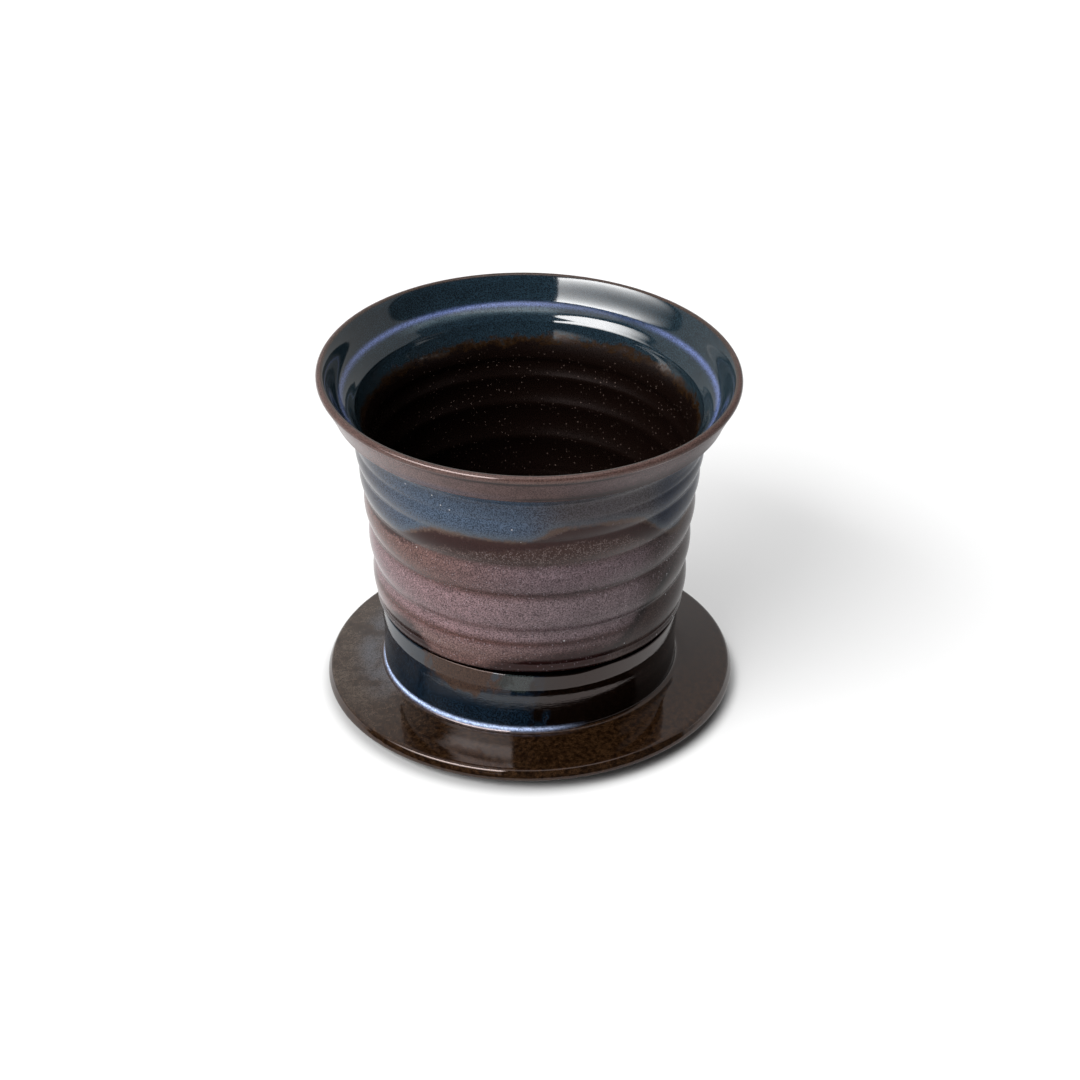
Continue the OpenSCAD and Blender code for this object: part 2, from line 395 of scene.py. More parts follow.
LOW_LINE = ((-170, 38), (-140, 35.5), (-100, 33), (-66, 36.5), (-52, 40.5), (-44, 39), (-39, 33.5),
            (-28, 30), (-18, 33), (-8, 37), (5, 38.8), (18, 39.8), (30, 39.5), (40, 37.5), (52, 35),
            (75, 37), (100, 40), (125, 38), (150, 42))
SALT_LOW = ((-180, 75), (-120, 70), (-60, 70), (-25, 72.5), (5, 73), (20, 75), (40, 75), (60, 70),
            (120, 76))
SALT_HIGH = ((-180, 79), (-120, 72), (-60, 70), (-30, 76), (-18, 79.5), (0, 79), (12, 81), (30, 81),
             (42, 77), (60, 70), (120, 79))

NOWHERE = -20                                # mm past a line, on the parts that it doesn't reach

# The same for the inside: where the rust edge runs, and how strong the pooled line is
RUST_LINE = ((-180, 94.6), (-150, 94), (-120, 94), (-60, 95), (0, 95), (60, 95.5), (95, 96.2),
             (120, 95.6), (150, 95.6), (172, 94.8))
POOL_SHARE = ((-170, 1.0), (-155, 1.0), (-140, 1.0), (-125, 1.1), (-100, 0.9), (0, 0.9), (95, 0.9),
              (120, 0.9), (132, 0.75), (143, 0.32), (160, 0.36), (171, 0.6), (178, 0.85))


def blend(share, a, b):
    """Two colours mixed, point by point."""
    share = np.clip(share, 0, 1)[:, None]
    return np.asarray(a) * (1 - share) + np.asarray(b) * share


def wall_tone(angle, height):
    """Colour of the mauve glaze on the wall: pink on the left of the front, grey to the right, with painted
    shade in the grooves, towards the bottom and on the right side.
    """
    side = ramp(angle, -38, 18) * (1 - ramp(angle, 120, 190))
    tone = blend(side, seen(132, 110, 113), seen(116, 103, 107))
    upper = blend(ramp(angle, -45, 10), seen(112, 88, 84), seen(108, 94, 99))
    lower = blend(ramp(angle, -30, 20), seen(118, 95, 92), seen(88, 73, 73))
    tone = blend(ramp(height, 59, 62), tone, upper)
    tone = blend(1 - ramp(height, 38, 47), tone, lower)
    # painted shade: darker in the grooves between the rings and towards the bottom of the wall
    painted_shade = bump(height, 61, 1.7) * 0.8 + bump(height, 48.2, 1.6) * 0.4 + bump(height, 43.3, 1.2) * 0.95
    painted_shade = painted_shade + 0.6 * (1 - ramp(height, 33.5, 36.5))
    shade_colour = blend(ramp(angle, -30, 20), seen(88, 64, 60), seen(66, 54, 54))
    tone = blend(painted_shade, tone, shade_colour)
    above = blend(ramp(angle, -50, -10), seen(90, 73, 69), seen(79, 66, 64))
    tone = blend(ramp(height, 70, 74), tone, above)
    # painted shade on the right side of the wall, away from the light
    shaded = ramp(angle, 36, 52) * (1 - ramp(angle, 120, 170)) * (1 - ramp(height, 71, 75))
    return blend(shaded * 0.8, tone, seen(72, 62, 60))


def rim_tone(angle, height):
    """Colour of the sloping band and the bead on it, with painted light on the band's left and painted
    shade along its lower edge and under the bead.
    """
    # painted light: the band is lighter on its left, where the light falls
    band = blend(ramp(angle, -45, 0), seen(120, 99, 97), seen(98, 80, 78))
    right = blend(ramp(height, BAND_EDGE[1] + 1, BAND_EDGE[1] + 5), seen(76, 63, 65), seen(100, 84, 85))
    band = blend(ramp(angle, 0, 20), band, right)
    blue_edge = bump(height, BAND_EDGE[1] + 0.8, 1.2) * bump(angle, -28, 16)
    band = blend(blue_edge * 0.5, band, seen(92, 96, 112))
    # painted shade: a dark line along the band's lower edge, where it overhangs the neck
    low_edge = bump(height, BAND_EDGE[1] + 0.5, 0.7) * ramp(angle, -10, 2) * (1 - ramp(angle, 30, 42))
    band = blend(low_edge * 0.8, band, seen(42, 32, 30))
    # painted shade in the crease under the bead
    bead_crease_shade = bump(height, LIP_Z - 2.6, 0.55) * ramp(angle, -40, -16) * (1 - ramp(angle, 22, 34))
    band = blend(bead_crease_shade * 0.8, band, seen(40, 28, 26))
    return blend(ramp(height, LIP_Z - 2.3, LIP_Z - 1.5), band, seen(98, 80, 76))


def inner_tone(angle, height):
    """Colour of the inside: rust at the lip, teal blue on the flare with a painted reflection on its shelf
    at the back, and nearly black below the throat.
    """
    back = np.abs(angle)
    teal = blend(ramp(back, 110, 160), (0.009, 0.0165, 0.022), (0.0068, 0.0145, 0.0215))
    # painted reflection: a paler grey-blue band on the shelf, only at the back where the light is mirrored
    shelf_reflection_side = np.where(angle < 0, ramp(back, 128, 146), ramp(back, 166, 176))
    shelf = bump(height, POOL[1] - 1.9, 0.75) * shelf_reflection_side
    tone = blend(shelf * 0.8, teal, (0.045, 0.066, 0.080))
    return blend(ramp(height, LIP_Z - 0.5, LIP_Z - 0.1), tone, (0.030, 0.017, 0.012))


def pot_numbers(radius, height, turn, along):
    """What the pot's glaze needs to know per vertex: its ground colour, and how far the lines are in mm."""
    angle = degrees(turn)
    inner = along > LIP_POINT
    foot = ~inner & (height < SHOULDER_Z - 0.6)
    wall = ~inner & ~foot & (height < BAND_EDGE[1] - 0.5)
    run = angle - 44.5 - (height - 46) * 1.37
    run_rows = ramp(height, 34, 40) * (1 - ramp(height, 55, 60))
    olive = ramp(run, -1.5, 2.5) * (1 - ramp(angle, 110, 150))
    olive = olive * ramp(height, 30, 34) * (1 - ramp(height, 57, 61))
    salt_low, salt_high = around(turn, SALT_LOW), around(turn, SALT_HIGH)
    salt = ramp(height, salt_low - 1.5, salt_low + 1.5)
    salt = salt * (1 - ramp(height, salt_high - 1, salt_high + 1.5))
    tone = blend(wall * 1.0, rim_tone(angle, height), wall_tone(angle, height))
    tone = blend(inner * 1.0, tone, inner_tone(angle, height))
    blue_left = ramp(angle, -80, -30) * (1 - ramp(angle, -5, 14))
    blue_right = ramp(angle, 40, 52) * (1 - ramp(angle, 150, 200))
    return {
        "tone": np.concatenate([tone, np.ones((len(tone), 1))], axis=1),
        "blue": np.where(wall, height - around(turn, BLUE_LINE), NOWHERE),
        "blueness": np.clip(blue_left + blue_right, 0, 1),
        "shade": 0.8 * ramp(angle, 38, 50) * (1 - ramp(angle, 66, 90)),
        "dark": np.where(wall, around(turn, DARK_HALF) - np.abs(height - around(turn, DARK_LINE)), NOWHERE),
        "low": np.where(wall, around(turn, LOW_LINE) - height, NOWHERE),
        "olive": np.where(wall & (angle > 0), olive, 0),
        "streak": np.where(wall & (angle > 0), bump(run, -0.3, 3.6) * run_rows, 0),
        "salt": np.where(wall, salt * ramp(salt_high - salt_low, 1, 4), 0),
        "wall": wall * 1.0,
        "inside": inner * 1.0,
        "bead": np.where(inner, 0, ramp(height, LIP_Z - 2.6, LIP_Z - 2.1)),
        "matt": np.where(inner, 0, ramp(angle, 28, 50) * (1 - ramp(angle, 95, 140))),
        "pooled": np.where(inner, bump(height, POOL[1] - 0.65, 0.5) * around(turn, POOL_SHARE), 0),
        "rust": np.where(inner, around(turn, RUST_LINE) - height, NOWHERE),
        "bare": np.where(foot, ramp(-height, -SHOULDER_Z + 2, -SHOULDER_Z + 5), 0),
    }


# ---------------------------------------------------------------- the stand
STAND_LINE = stand_outline()

# How far the collar's top dips, as (degrees, mm)
COLLAR_DIP = ((-180, 0.2), (-90, 0.35), (-60, 0.3), (-40, 0.15), (-25, 0.1), (-10, 0.3), (0, 0.4),
              (18, 0.65), (27, 0.15), (33, 0.0), (42, 0.3), (50, 0.5), (62, 0.5), (80, 0.3), (130, 0.2))


def stand_shape(radius, height, turn, along):
    """The stand's uneven form: a shallow dent and a wavy top on the collar, and the slants."""
    angle = degrees(turn)
    hollow = 0.10 * bump(height, 23.2, 2.2) * ramp(angle, -10, 30) * (1 - ramp(angle, 50, 75))
    radius = radius - np.where(radius > COLLAR_R - 1, hollow, 0)
    height = height - around(turn, COLLAR_DIP) * ramp(height, COLLAR_TOP - 7, COLLAR_TOP - 0.6)
    x = radius * np.sin(turn)
    y = -radius * np.cos(turn)
    up_collar = ramp(height, BRIM_Z + BRIM_RISE + 1, COLLAR_TOP - 1)
    on_brim = ramp(radius, 44, 50) * ramp(height, 1.5, 4)
    slant = POT_SLANT * up_collar + BRIM_SLANT * on_brim * (1 - up_collar)
    slant = np.where(radius < COLLAR_R - COLLAR_T - 0.2, 0, slant)
    return x, y, height - slant * x


def stand_numbers(radius, height, turn, along):
    """What the stand's glaze needs to know per vertex."""
    angle = degrees(turn)
    outer = np.where((radius > COLLAR_R - 1.2) & (height > BRIM_Z + BRIM_RISE + 0.7), 1.0, 0.0)
    brim = np.where((radius > COLLAR_R + 0.6) & (height > BRIM_Z - 0.4) & (outer < 0.5), 1.0, 0.0)
    navy = 1 - ramp(angle, -14, 20)
    navy = np.maximum(navy * ramp(angle, -150, -110), ramp(angle, 140, 170))
    patch = bump(angle, -27, 13 + (height - 22) * 0.5) * ramp(height, 19, 24)
    mid_patch = bump(angle, -4, 7) * ramp(height, 22, 26)
    cloud_side = ramp(-angle, 48, 76) * (1 - ramp(-angle, 120, 160))
    pooled = bump(height, 10.45, 0.52) * (radius < COLLAR_R + 1.4)
    return {
        "wall": outer,
        "navy": navy,
        "patch": np.clip(patch, 0, 1),
        "grey_patch": np.clip(mid_patch, 0, 1),
        "pooled": pooled * ramp(-angle, -24, 6) * (1 - ramp(-angle, 150, 175)),
        "cloud": brim * cloud_side * (1 - ramp(radius, 50, 58)),
        "green": brim * ramp(-angle, 30, 75) * (1 - ramp(-angle, 140, 170)),
        # painted shade: the collar's mouth under the pot's shoulder, kept nearly black
        "mouth": np.where((radius < COLLAR_R - 0.3) & (height > COLLAR_TOP - 4), 1.0, 0.0),
        "bare": 1 - ramp(height, 0.9, 1.5),
        "height": height,
    }


# ---------------------------------------------------------------- materials
CLAY_DARK, CLAY_PALE, GROG = (0.19, 0.110, 0.072), (0.30, 0.180, 0.122), (0.06, 0.035, 0.025)
RELIEF = 0.012 * MM                          # height of the glaze's fine unevenness


class Nodes:
    """Short calls that add nodes to one tree. They take sockets or plain values, and return sockets."""

    def __init__(self, tree):
        self.tree = tree
        self.place = None

    def add(self, kind, **settings):
        node = self.tree.nodes.new(kind)
        for key, value in settings.items():
            setattr(node, key, value)
        return node

    def put(self, socket, value):
        if isinstance(value, bpy.types.NodeSocket):
            self.tree.links.new(value, socket)
        elif isinstance(value, tuple) and socket.type == "RGBA":
            socket.default_value = (*value, 1)
        else:
            socket.default_value = value

    def calc(self, operation, a, b=0.0):
        node = self.add("ShaderNodeMath", operation=operation)
        self.put(node.inputs[0], a)
        self.put(node.inputs[1], b)
        return node.outputs[0]

    def mapped(self, value, low, high, start=0.0, end=1.0, kind="SMOOTHSTEP"):
        """start where the value is low or less, end where it is high or more."""
        node = self.add("ShaderNodeMapRange", interpolation_type=kind)
        for socket, setting in zip(node.inputs, (value, low, high, start, end)):
            self.put(socket, setting)
        return node.outputs[0]

    def mix(self, share, a, b):
        node = self.add("ShaderNodeMix", data_type="RGBA")
        for number, value in ((0, share), (6, a), (7, b)):
            self.put(node.inputs[number], value)
        return node.outputs[2]

    def mix_number(self, share, a, b):
        node = self.add("ShaderNodeMix", data_type="FLOAT")
        for number, value in ((0, share), (2, a), (3, b)):
            self.put(node.inputs[number], value)
        return node.outputs[0]

    def scaled(self, colour, amount):
        node = self.add("ShaderNodeVectorMath", operation="SCALE")
        self.put(node.inputs[0], colour)
        self.put(node.inputs["Scale"], amount)
        return node.outputs[0]

    def kept(self, name, colour=False):
        """What the mesh keeps per vertex under this name."""
        node = self.add("ShaderNodeAttribute", attribute_name=name)
        return node.outputs["Color" if colour else "Fac"]

    def spot(self, flat=1.0):
        """Place on the piece; flat above 1 squeezes patterns upright, so they lie along the turning."""
        if self.place is None:
            self.place = self.add("ShaderNodeTexCoord").outputs["Object"]
        if flat == 1.0:
            return self.place
        node = self.add("ShaderNodeMapping")
        self.put(node.inputs["Vector"], self.place)
        node.inputs["Scale"].default_value = (1, 1, flat)
        return node.outputs[0]

    def noise(self, size, detail=2.0, flat=1.0):
        """Smooth noise from 0 to 1 whose features are about size mm wide."""
        node = self.add("ShaderNodeTexNoise")
        self.put(node.inputs["Vector"], self.spot(flat))
        node.inputs["Scale"].default_value = 1 / (size * MM)
        node.inputs["Detail"].default_value = detail
        return node.outputs[0]

    def clay(self):
        """Unglazed stoneware with turning marks and dark grog."""
        body = self.mix(self.mapped(self.noise(2.2, 3.0, flat=5.0), 0.3, 0.7), CLAY_DARK, CLAY_PALE)
        grog = self.calc("MULTIPLY", self.specks(1.3, 0.22, 0.25), 0.6)
        return self.mix(grog, body, GROG)

    def specks(self, spacing, radius, share):
        """1 in small round specks, in a share of the cells spacing mm wide."""
        node = self.add("ShaderNodeTexVoronoi")
        self.put(node.inputs["Vector"], self.spot())
        node.inputs["Scale"].default_value = 1 / (spacing * MM)
        near = self.mapped(node.outputs["Distance"], radius / spacing, 0.55 * radius / spacing)
        split = self.add("ShaderNodeSeparateColor")
        self.put(split.inputs[0], node.outputs["Color"])
        return self.calc("MULTIPLY", near, self.calc("LESS_THAN", split.outputs[0], share))

    def raised(self, shader, height):
        """Let the shader see a surface that stands up by RELIEF where height is 1."""
        node = self.add("ShaderNodeBump")
        node.inputs["Distance"].default_value = RELIEF
        self.put(node.inputs["Height"], height)
        self.put(shader.inputs["Normal"], node.outputs[0])


def surface(name):
    """A new material, its nodes and its shader."""
    mat = bpy.data.materials.new(name)
    mat.use_nodes = True
    return mat, Nodes(mat.node_tree), mat.node_tree.nodes["Principled BSDF"]


def pot_glaze():
    """Mauve speckled glaze outside with blue under the rim, teal and then nearly black inside."""
    mat, net, shader = surface("pot_glaze")
    fine = net.noise(0.39, 1.5)
    coarse = net.noise(0.75, 0.5)
    soft = net.noise(5.0, 2.0, flat=2.2)
    rag = net.noise(1.1, 2.0)
    wander = net.calc("ADD", net.mapped(rag, 0.25, 0.75, -1.0, 1.0, "LINEAR"),
                      net.mapped(soft, 0.3, 0.7, -1.1, 1.1, "LINEAR"))

    # The mauve wall, clouded and speckled, and the smoother runs across it
    colour = net.kept("tone", colour=True)
    low = net.mapped(net.calc("ADD", net.kept("low"), net.calc("MULTIPLY", wander, 0.8)), -2.4, 2.0)
    colour = net.mix(low, colour, seen(54, 41, 39))
    colour = net.mix(net.calc("MULTIPLY", net.kept("olive"), 0.85), colour, seen(76, 66, 64))
    streak = net.calc("MULTIPLY", net.kept("streak"), net.mapped(rag, 0.3, 0.6, 0.6, 1.0))
    colour = net.mix(net.calc("MULTIPLY", streak, 0.95), colour, seen(38, 30, 29))
    wall = net.kept("wall")
    speckle = net.mapped(fine, 0.34, 0.66, 0.36, 1.64, "LINEAR")
    cloud = net.mapped(soft, 0.3, 0.7, 0.86, 1.14, "LINEAR")
    calm = net.calc("MAXIMUM", net.kept("olive"), net.calc("MULTIPLY", low, 0.6))
    rough_part = net.calc("MULTIPLY", wall, net.calc("SUBTRACT", 1.0, net.calc("MULTIPLY", calm, 0.8)))
    amount = net.mapped(rough_part, 0.0, 1.0, 0.75, 1.0, "LINEAR")
    speckled = net.calc("MULTIPLY", net.mix_number(amount, 1.0, speckle), cloud)
    colour = net.scaled(colour, speckled)
    flecks = net.calc("MULTIPLY", net.specks(0.85, 0.26, 0.30), net.calc("MULTIPLY", rough_part, 0.42))
    colour = net.mix(flecks, colour, seen(182, 170, 180))
    pits = net.calc("MULTIPLY", net.specks(1.1, 0.30, 0.16), net.calc("MULTIPLY", rough_part, 0.6))
    colour = net.mix(pits, colour, seen(46, 34, 32))

    # Salt and pepper under the dark line
    salt = net.calc("MULTIPLY", net.kept("salt"), net.mapped(soft, 0.25, 0.45, 0.7, 1.0))
    grains = net.mix(net.specks(0.42, 0.235, 0.5), seen(64, 50, 47), seen(130, 116, 114))
    colour = net.mix(net.calc("MULTIPLY", salt, 0.75), colour, grains)

    # Blue under the rim, an ochre fringe below it, then the dark brown line
    blue = net.kept("blue")
    ragged = net.calc("ADD", blue, net.calc("MULTIPLY", wander, 0.45))
    fringe = net.calc("MULTIPLY", net.mapped(ragged, -3.2, -0.9), net.mapped(ragged, 0.9, -0.2))
    colour = net.mix(net.calc("MULTIPLY", fringe, 0.65), colour, seen(102, 87, 78))
    dark = net.calc("ADD", net.kept("dark"), net.calc("MULTIPLY", wander, 0.7))
    colour = net.mix(net.calc("MULTIPLY", net.mapped(dark, -0.7, 1.0), 0.9), colour, seen(56, 43, 40))
    blue_grain = net.mix(net.mapped(fine, 0.36, 0.64), seen(54, 66, 78), seen(90, 108, 130))
    grey_grain = net.mix(net.mapped(fine, 0.38, 0.62), seen(62, 60, 62), seen(92, 92, 98))
    blue_grain = net.mix(net.kept("shade"), blue_grain, seen(50, 55, 68))
    blue_colour = net.mix(net.kept("blueness"), grey_grain, blue_grain)
    teal = net.mapped(blue, 3.5, 0.0)
    blue_colour = net.mix(net.calc("MULTIPLY", teal, 0.55), blue_colour, seen(94, 104, 112))
    colour = net.mix(net.mapped(ragged, -1.0, 1.2), colour, blue_colour)

    # The inside: a broken lilac line where the glaze pooled, and a mottled rust edge above the dark
    inside = net.kept("inside")
    pooled = net.calc("MULTIPLY", net.kept("pooled"), net.mapped(fine, 0.34, 0.60, 0.35, 1.0))
    colour = net.mix(pooled, colour, (0.095, 0.128, 0.285))
    rust = net.calc("ADD", net.kept("rust"), net.calc("MULTIPLY", wander, 1.1))
    colour = net.mix(net.mapped(rust, -1.0, 1.2), colour, (0.017, 0.0082, 0.0030))
    colour = net.mix(net.mapped(rust, 0.3, 3.0), colour, (0.0030, 0.0014, 0.0010))

    # Painted glints in the dark inside, white crystals on the wall painted as bright as glints, and bare
    # clay on the foot
    deep = net.mapped(net.kept("rust"), 2.0, 6.0)
    sparse = net.calc("MULTIPLY", deep, net.mapped(soft, 0.35, 0.6, 0.1, 0.7))
    painted_glints = net.calc("MULTIPLY", net.specks(0.9, 0.27, 0.25), sparse)
    colour = net.mix(painted_glints, colour, (0.095, 0.068, 0.058))
    # white crystals in the glaze, partly real, painted bright as glints
    crystal_glints = net.specks(2.6, 0.30, 0.10)
    crystal_glints = net.calc("MULTIPLY", crystal_glints, net.calc("MULTIPLY", wall, 0.55))
    colour = net.mix(crystal_glints, colour, (0.5, 0.5, 0.52))
    bare = net.kept("bare")
    colour = net.mix(bare, colour, net.clay())
    net.put(shader.inputs["Base Color"], colour)
    inner_gloss = net.mapped(net.kept("rust"), -0.5, 2.5, 0.5, 0.16)
    outer_gloss = net.mapped(wall, 0.0, 1.0, 0.18, 0.27, "LINEAR")
    outer_gloss = net.mix_number(net.kept("bead"), outer_gloss, 0.5)
    matt = net.calc("SUBTRACT", 1.0, net.calc("MULTIPLY", net.kept("matt"), 0.72))
    outer_gloss = net.calc("MULTIPLY", outer_gloss, matt)
    net.put(shader.inputs["Specular IOR Level"], net.mix_number(inside, outer_gloss, inner_gloss))
    pale_inside = net.calc("MULTIPLY", inside, net.mapped(rust, 2.0, -0.5))
    net.put(shader.inputs["Specular Tint"], net.mix(pale_inside, (1.0, 0.82, 0.79), (1.0, 1.0, 1.0)))

    rough = net.mix_number(net.kept("bead"), net.mapped(wall, 0.0, 1.0, 0.22, 0.19, "LINEAR"), 0.13)
    rough = net.calc("ADD", rough, net.mapped(inside, 0.0, 1.0, 0.0, -0.16, "LINEAR"))
    rough = net.calc("ADD", rough, net.calc("MULTIPLY", net.mapped(rust, 0.0, 3.0), 0.22))
    rough = net.calc("ADD", rough, net.mapped(fine, 0.3, 0.7, -0.03, 0.03, "LINEAR"))
    rough = net.calc("ADD", rough, net.calc("MULTIPLY", bare, 0.5))
    net.put(shader.inputs["Roughness"], rough)

    on_wall = net.mapped(wall, 0.0, 1.0, 0.12, 1.0, "LINEAR")
    relief = net.calc("MULTIPLY", net.calc("ADD", fine, coarse), on_wall)
    relief = net.calc("ADD", relief, net.calc("MULTIPLY", net.noise(3.0, 1.0, flat=1.5), 0.8))
    net.raised(shader, relief)
    return mat


def stand_glaze():
    """Brown-black brim and a navy collar, glossier than the pot."""
    mat, net, shader = surface("stand_glaze")
    fine = net.noise(0.45, 1.0)
    coarse = net.noise(1.4, 2.0)
    soft = net.noise(7.0, 3.0)
    turned_lines = net.noise(3.0, 2.0, flat=9.0)
    wall = net.kept("wall")

    # Brown-black glaze on the brim, mottled
    brown = net.mix(net.mapped(coarse, 0.3, 0.7), (0.0045, 0.0018, 0.0007), (0.0175, 0.0082, 0.0034))
    green = net.mix(net.mapped(coarse, 0.3, 0.7), (0.030, 0.021, 0.015), (0.046, 0.034, 0.026))
    greener = net.calc("MULTIPLY", net.kept("green"), net.mapped(soft, 0.3, 0.65, 0.3, 1.0))
    colour = net.mix(greener, brown, green)
    cloud = net.calc("MULTIPLY", net.kept("cloud"), net.mapped(soft, 0.28, 0.72, 0.05, 0.42))
    colour = net.mix(cloud, colour, (0.060, 0.074, 0.095))

    # The collar: navy, with brown and blue-grey patches
    navy = net.mix(net.mapped(fine, 0.36, 0.64), (0.0012, 0.0035, 0.0068), (0.0034, 0.0085, 0.0155))
    black = net.mix(net.mapped(fine, 0.36, 0.64), (0.0010, 0.0005, 0.0003), (0.0026, 0.0013, 0.0008))
    edge_noise = net.mapped(net.noise(3.0, 3.0, flat=0.6), 0.3, 0.7, -0.35, 0.35, "LINEAR")
    collar = net.mix(net.mapped(net.calc("ADD", net.kept("navy"), edge_noise), 0.3, 0.7), black, navy)
    patch = net.mapped(net.calc("ADD", net.kept("patch"), edge_noise), 0.25, 0.65)
    collar = net.mix(patch, collar, (0.0250, 0.0135, 0.0088))
    grey_patch = net.mapped(net.calc("ADD", net.kept("grey_patch"), edge_noise), 0.4, 0.8)
    collar = net.mix(grey_patch, collar, (0.012, 0.0165, 0.0165))
    colour = net.mix(wall, colour, collar)
    # painted shade: the collar's mouth made nearly black, so the gap under the shoulder stays dark
    colour = net.mix(net.kept("mouth"), colour, (0.0015, 0.0010, 0.0008))

    # Pale glaze pooled round the collar's foot, and bare clay on the foot ring
    pooled = net.calc("MULTIPLY", net.kept("pooled"), net.mapped(coarse, 0.3, 0.55, 0.7, 1.0))
    colour = net.mix(pooled, colour, (0.42, 0.52, 0.78))
    colour = net.scaled(colour, net.mapped(fine, 0.3, 0.7, 0.55, 1.5, "LINEAR"))
    bare = net.kept("bare")
    colour = net.mix(bare, colour, net.clay())
    net.put(shader.inputs["Base Color"], colour)

    shine = net.mix_number(wall, 0.5, net.mapped(net.kept("height"), 16.0, 18.5, 0.24, 0.58))
    shine = net.calc("MULTIPLY", shine, net.mapped(patch, 0.0, 1.0, 1.0, 0.55, "LINEAR"))
    net.put(shader.inputs["Specular IOR Level"], net.mix_number(net.kept("mouth"), shine, 0.05))
    cold = net.calc("MULTIPLY", net.kept("navy"), wall)
    cold = net.calc("MULTIPLY", cold, net.calc("SUBTRACT", 1.0, patch))
    less_green = net.mapped(net.kept("green"), 0.0, 1.0, 1.0, 0.4, "LINEAR")
    warm = net.calc("MULTIPLY", net.calc("SUBTRACT", 1.0, cold), less_green)
    net.put(shader.inputs["Specular Tint"], net.mix(warm, (1.0, 1.0, 1.0), (1.0, 0.82, 0.78)))
    rough = net.mapped(coarse, 0.3, 0.7, 0.045, 0.08, "LINEAR")
    low_wall = net.mapped(net.kept("height"), 18.0, 15.0, 0.0, 0.05)
    rough = net.calc("ADD", rough, net.calc("MULTIPLY", wall, low_wall))
    rough = net.calc("ADD", rough, net.calc("MULTIPLY", bare, 0.6))
    net.put(shader.inputs["Roughness"], rough)
    relief = net.calc("ADD", turned_lines, net.calc("MULTIPLY", fine, 0.10))
    net.raised(shader, relief)
    return mat


pot = turned("pot_glazed", POT_LINE, pot_shape, pot_numbers)
pot.data.materials.append(pot_glaze())
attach(pot, "pot")
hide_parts("pot")

stand = turned("stand_glazed", STAND_LINE, stand_shape, stand_numbers)
stand.data.materials.append(stand_glaze())
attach(stand, "stand")
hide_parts("stand")

# ---------------------------------------------------------------- floor, light and camera
TABLE_WIDTH = 8.0                            # metres
TABLE_GREY = 0.38
TABLE_PAINTED_FILL = 0.42                            # the table glows this brightly, a painted fill that stands in for light from all round
PAINTED_FILL_STARTS = (62 * MM, 68 * MM)             # the glow fades in between these distances, leaving a painted contact shadow round the stand

half = TABLE_WIDTH / 2
floor_mesh = bpy.data.meshes.new("floor")
floor_corners = [(-half, -half, 0), (half, -half, 0), (half, half, 0), (-half, half, 0)]
floor_mesh.from_pydata(floor_corners, [], [(0, 1, 2, 3)])
floor = bpy.data.objects.new("floor", floor_mesh)
bpy.context.collection.objects.link(floor)
table, table_nodes, table_shader = surface("table")
table_shader.inputs["Base Color"].default_value = (TABLE_GREY, TABLE_GREY, TABLE_GREY, 1)
table_shader.inputs["Roughness"].default_value = 0.9
# the table's glow is painted fill light, and where it is missing near the stand it paints a contact shadow
table_shader.inputs["Emission Color"].default_value = (1, 1, 1, 1)
from_axis = table_nodes.add("ShaderNodeVectorMath", operation="LENGTH")
table_nodes.put(from_axis.inputs[0], table_nodes.spot())
painted_fill_strength = table_nodes.mapped(from_axis.outputs["Value"], *PAINTED_FILL_STARTS, 0.0, TABLE_PAINTED_FILL)
table_nodes.put(table_shader.inputs["Emission Strength"], painted_fill_strength)
floor.data.materials.append(table)


def level(azimuth):
    """Level unit vector from the object, with azimuth in degrees to the left of the camera."""
    turn = math.radians(azimuth)
    return Vector((-math.sin(turn), -math.cos(turn), 0))


# The room: a tall lit screen to the left of the camera, brightest at its top, pale walls behind the
# object, a bright ceiling, and dark walls on the camera's side. The screen's edges are sideways and
# upwards from the point it faces, in distances of the screen from the object.
UP = (0, 0, 1)
SCREEN_FACES = 40                            # degrees to the left of the camera
SCREEN_RIGHT = -0.477
SCREEN_SOFT = 0.012                          # how soft its right edge is
SCREEN_LEFT = (0.25, 1.30)                   # it fades out between these
SCREEN_LOW = (0.30, 0.42)
SCREEN_HIGH = (1.50, 1.56)
SCREEN_LEAN = 0.05                           # its right edge leans this much per distance upwards
SCREEN_DIM, SCREEN_BRIGHT = 3.0, 22.0
GETS_BRIGHT = (0.42, 1.2)                    # it goes from dim to bright between these heights
BACK_WALL = (0.06, 0.998, 0.0)               # which way the pale walls are
CEILING_EDGE = (0.86, 0.93)                  # sines of the elevations where the ceiling fades in
PALE, DARK, CEILING, UNDERFOOT = 0.62, 0.05, 1.6, 1.0   # brightnesses of the room

world = bpy.data.worlds.new("studio")
bpy.context.scene.world = world
world.use_nodes = True
sky = Nodes(world.node_tree)
background = world.node_tree.nodes["Background"]
towards = sky.add("ShaderNodeTexCoord").outputs["Generated"]


def along_direction(vector):
    """Cosine between a direction in the room and this vector."""
    node = sky.add("ShaderNodeVectorMath", operation="DOT_PRODUCT")
    sky.put(node.inputs[0], towards)
    node.inputs[1].default_value = vector
    return node.outputs["Value"]


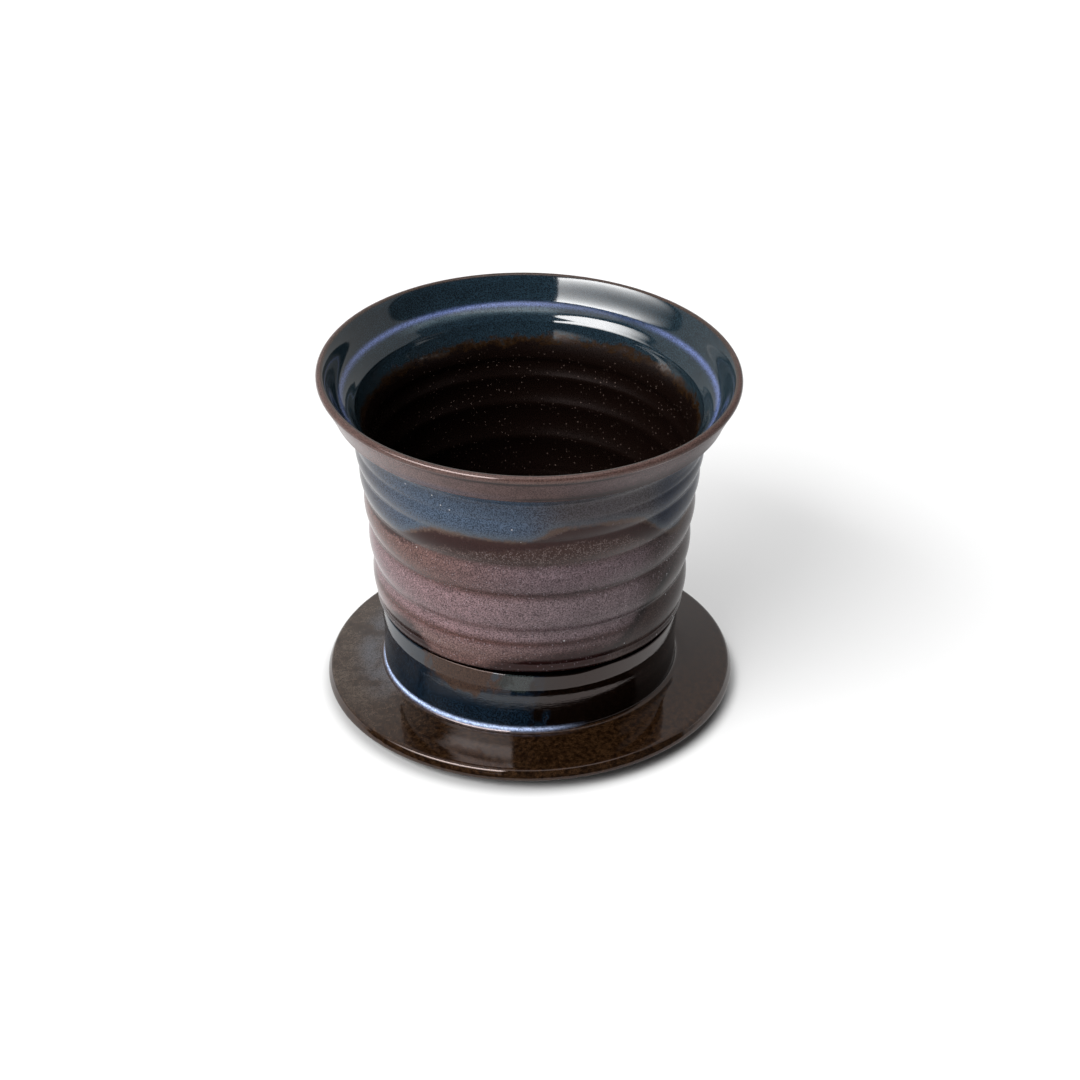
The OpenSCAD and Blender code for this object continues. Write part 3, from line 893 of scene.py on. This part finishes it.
facing = sky.calc("MAXIMUM", along_direction(level(SCREEN_FACES)), 0.001)
across = sky.calc("DIVIDE", along_direction(level(SCREEN_FACES + 90)), facing)
upward = sky.calc("DIVIDE", along_direction(UP), facing)
leaning = sky.calc("SUBTRACT", across, sky.calc("MULTIPLY", upward, SCREEN_LEAN))
right_edge = sky.mapped(leaning, SCREEN_RIGHT - SCREEN_SOFT, SCREEN_RIGHT + SCREEN_SOFT)
left_edge = sky.mapped(across, *SCREEN_LEFT, 1.0, 0.0)
low_edge = sky.mapped(upward, *SCREEN_LOW)
high_edge = sky.mapped(upward, *SCREEN_HIGH, 1.0, 0.0)
in_front = sky.calc("GREATER_THAN", facing, 0.01)
screen = sky.mapped(upward, *GETS_BRIGHT, SCREEN_DIM, SCREEN_BRIGHT, "LINEAR")
for edge in (right_edge, left_edge, low_edge, high_edge, in_front):
    screen = sky.calc("MULTIPLY", screen, edge)
behind = sky.mapped(along_direction(BACK_WALL), 0.0, 0.04)
room = sky.mapped(behind, 0.0, 1.0, DARK, PALE, "LINEAR")
room = sky.calc("MAXIMUM", room, sky.mapped(along_direction(UP), *CEILING_EDGE, 0.0, CEILING))
room = sky.calc("MAXIMUM", room, sky.mapped(along_direction(UP), 0.0, -0.02, 0.0, UNDERFOOT))
sky.put(background.inputs["Strength"], sky.calc("MAXIMUM", screen, room))
background.inputs["Color"].default_value = (1, 1, 1, 1)

# The camera looks down at the pot from in front
ELEVATION = math.radians(31.83)
REACH = 1.0195                               # metres from the camera to AIM
AIM = Vector((0.00324, 0.0, 0.05007))
SENSOR = 36.0                                # mm
FOCAL_SHARE = 3.02565                        # focal length as a multiple of the sensor's width
camera_data = bpy.data.cameras.new("camera")
camera_data.sensor_width = SENSOR
camera_data.lens = SENSOR * FOCAL_SHARE
camera = bpy.data.objects.new("camera", camera_data)
camera.location = AIM + Vector((0, -math.cos(ELEVATION), math.sin(ELEVATION))) * REACH
camera.rotation_euler = (math.pi / 2 - ELEVATION, 0, 0)
bpy.context.collection.objects.link(camera)
bpy.context.scene.camera = camera
bpy.context.scene.view_settings.view_transform = "Standard"
bpy.context.scene.view_settings.look = "None"
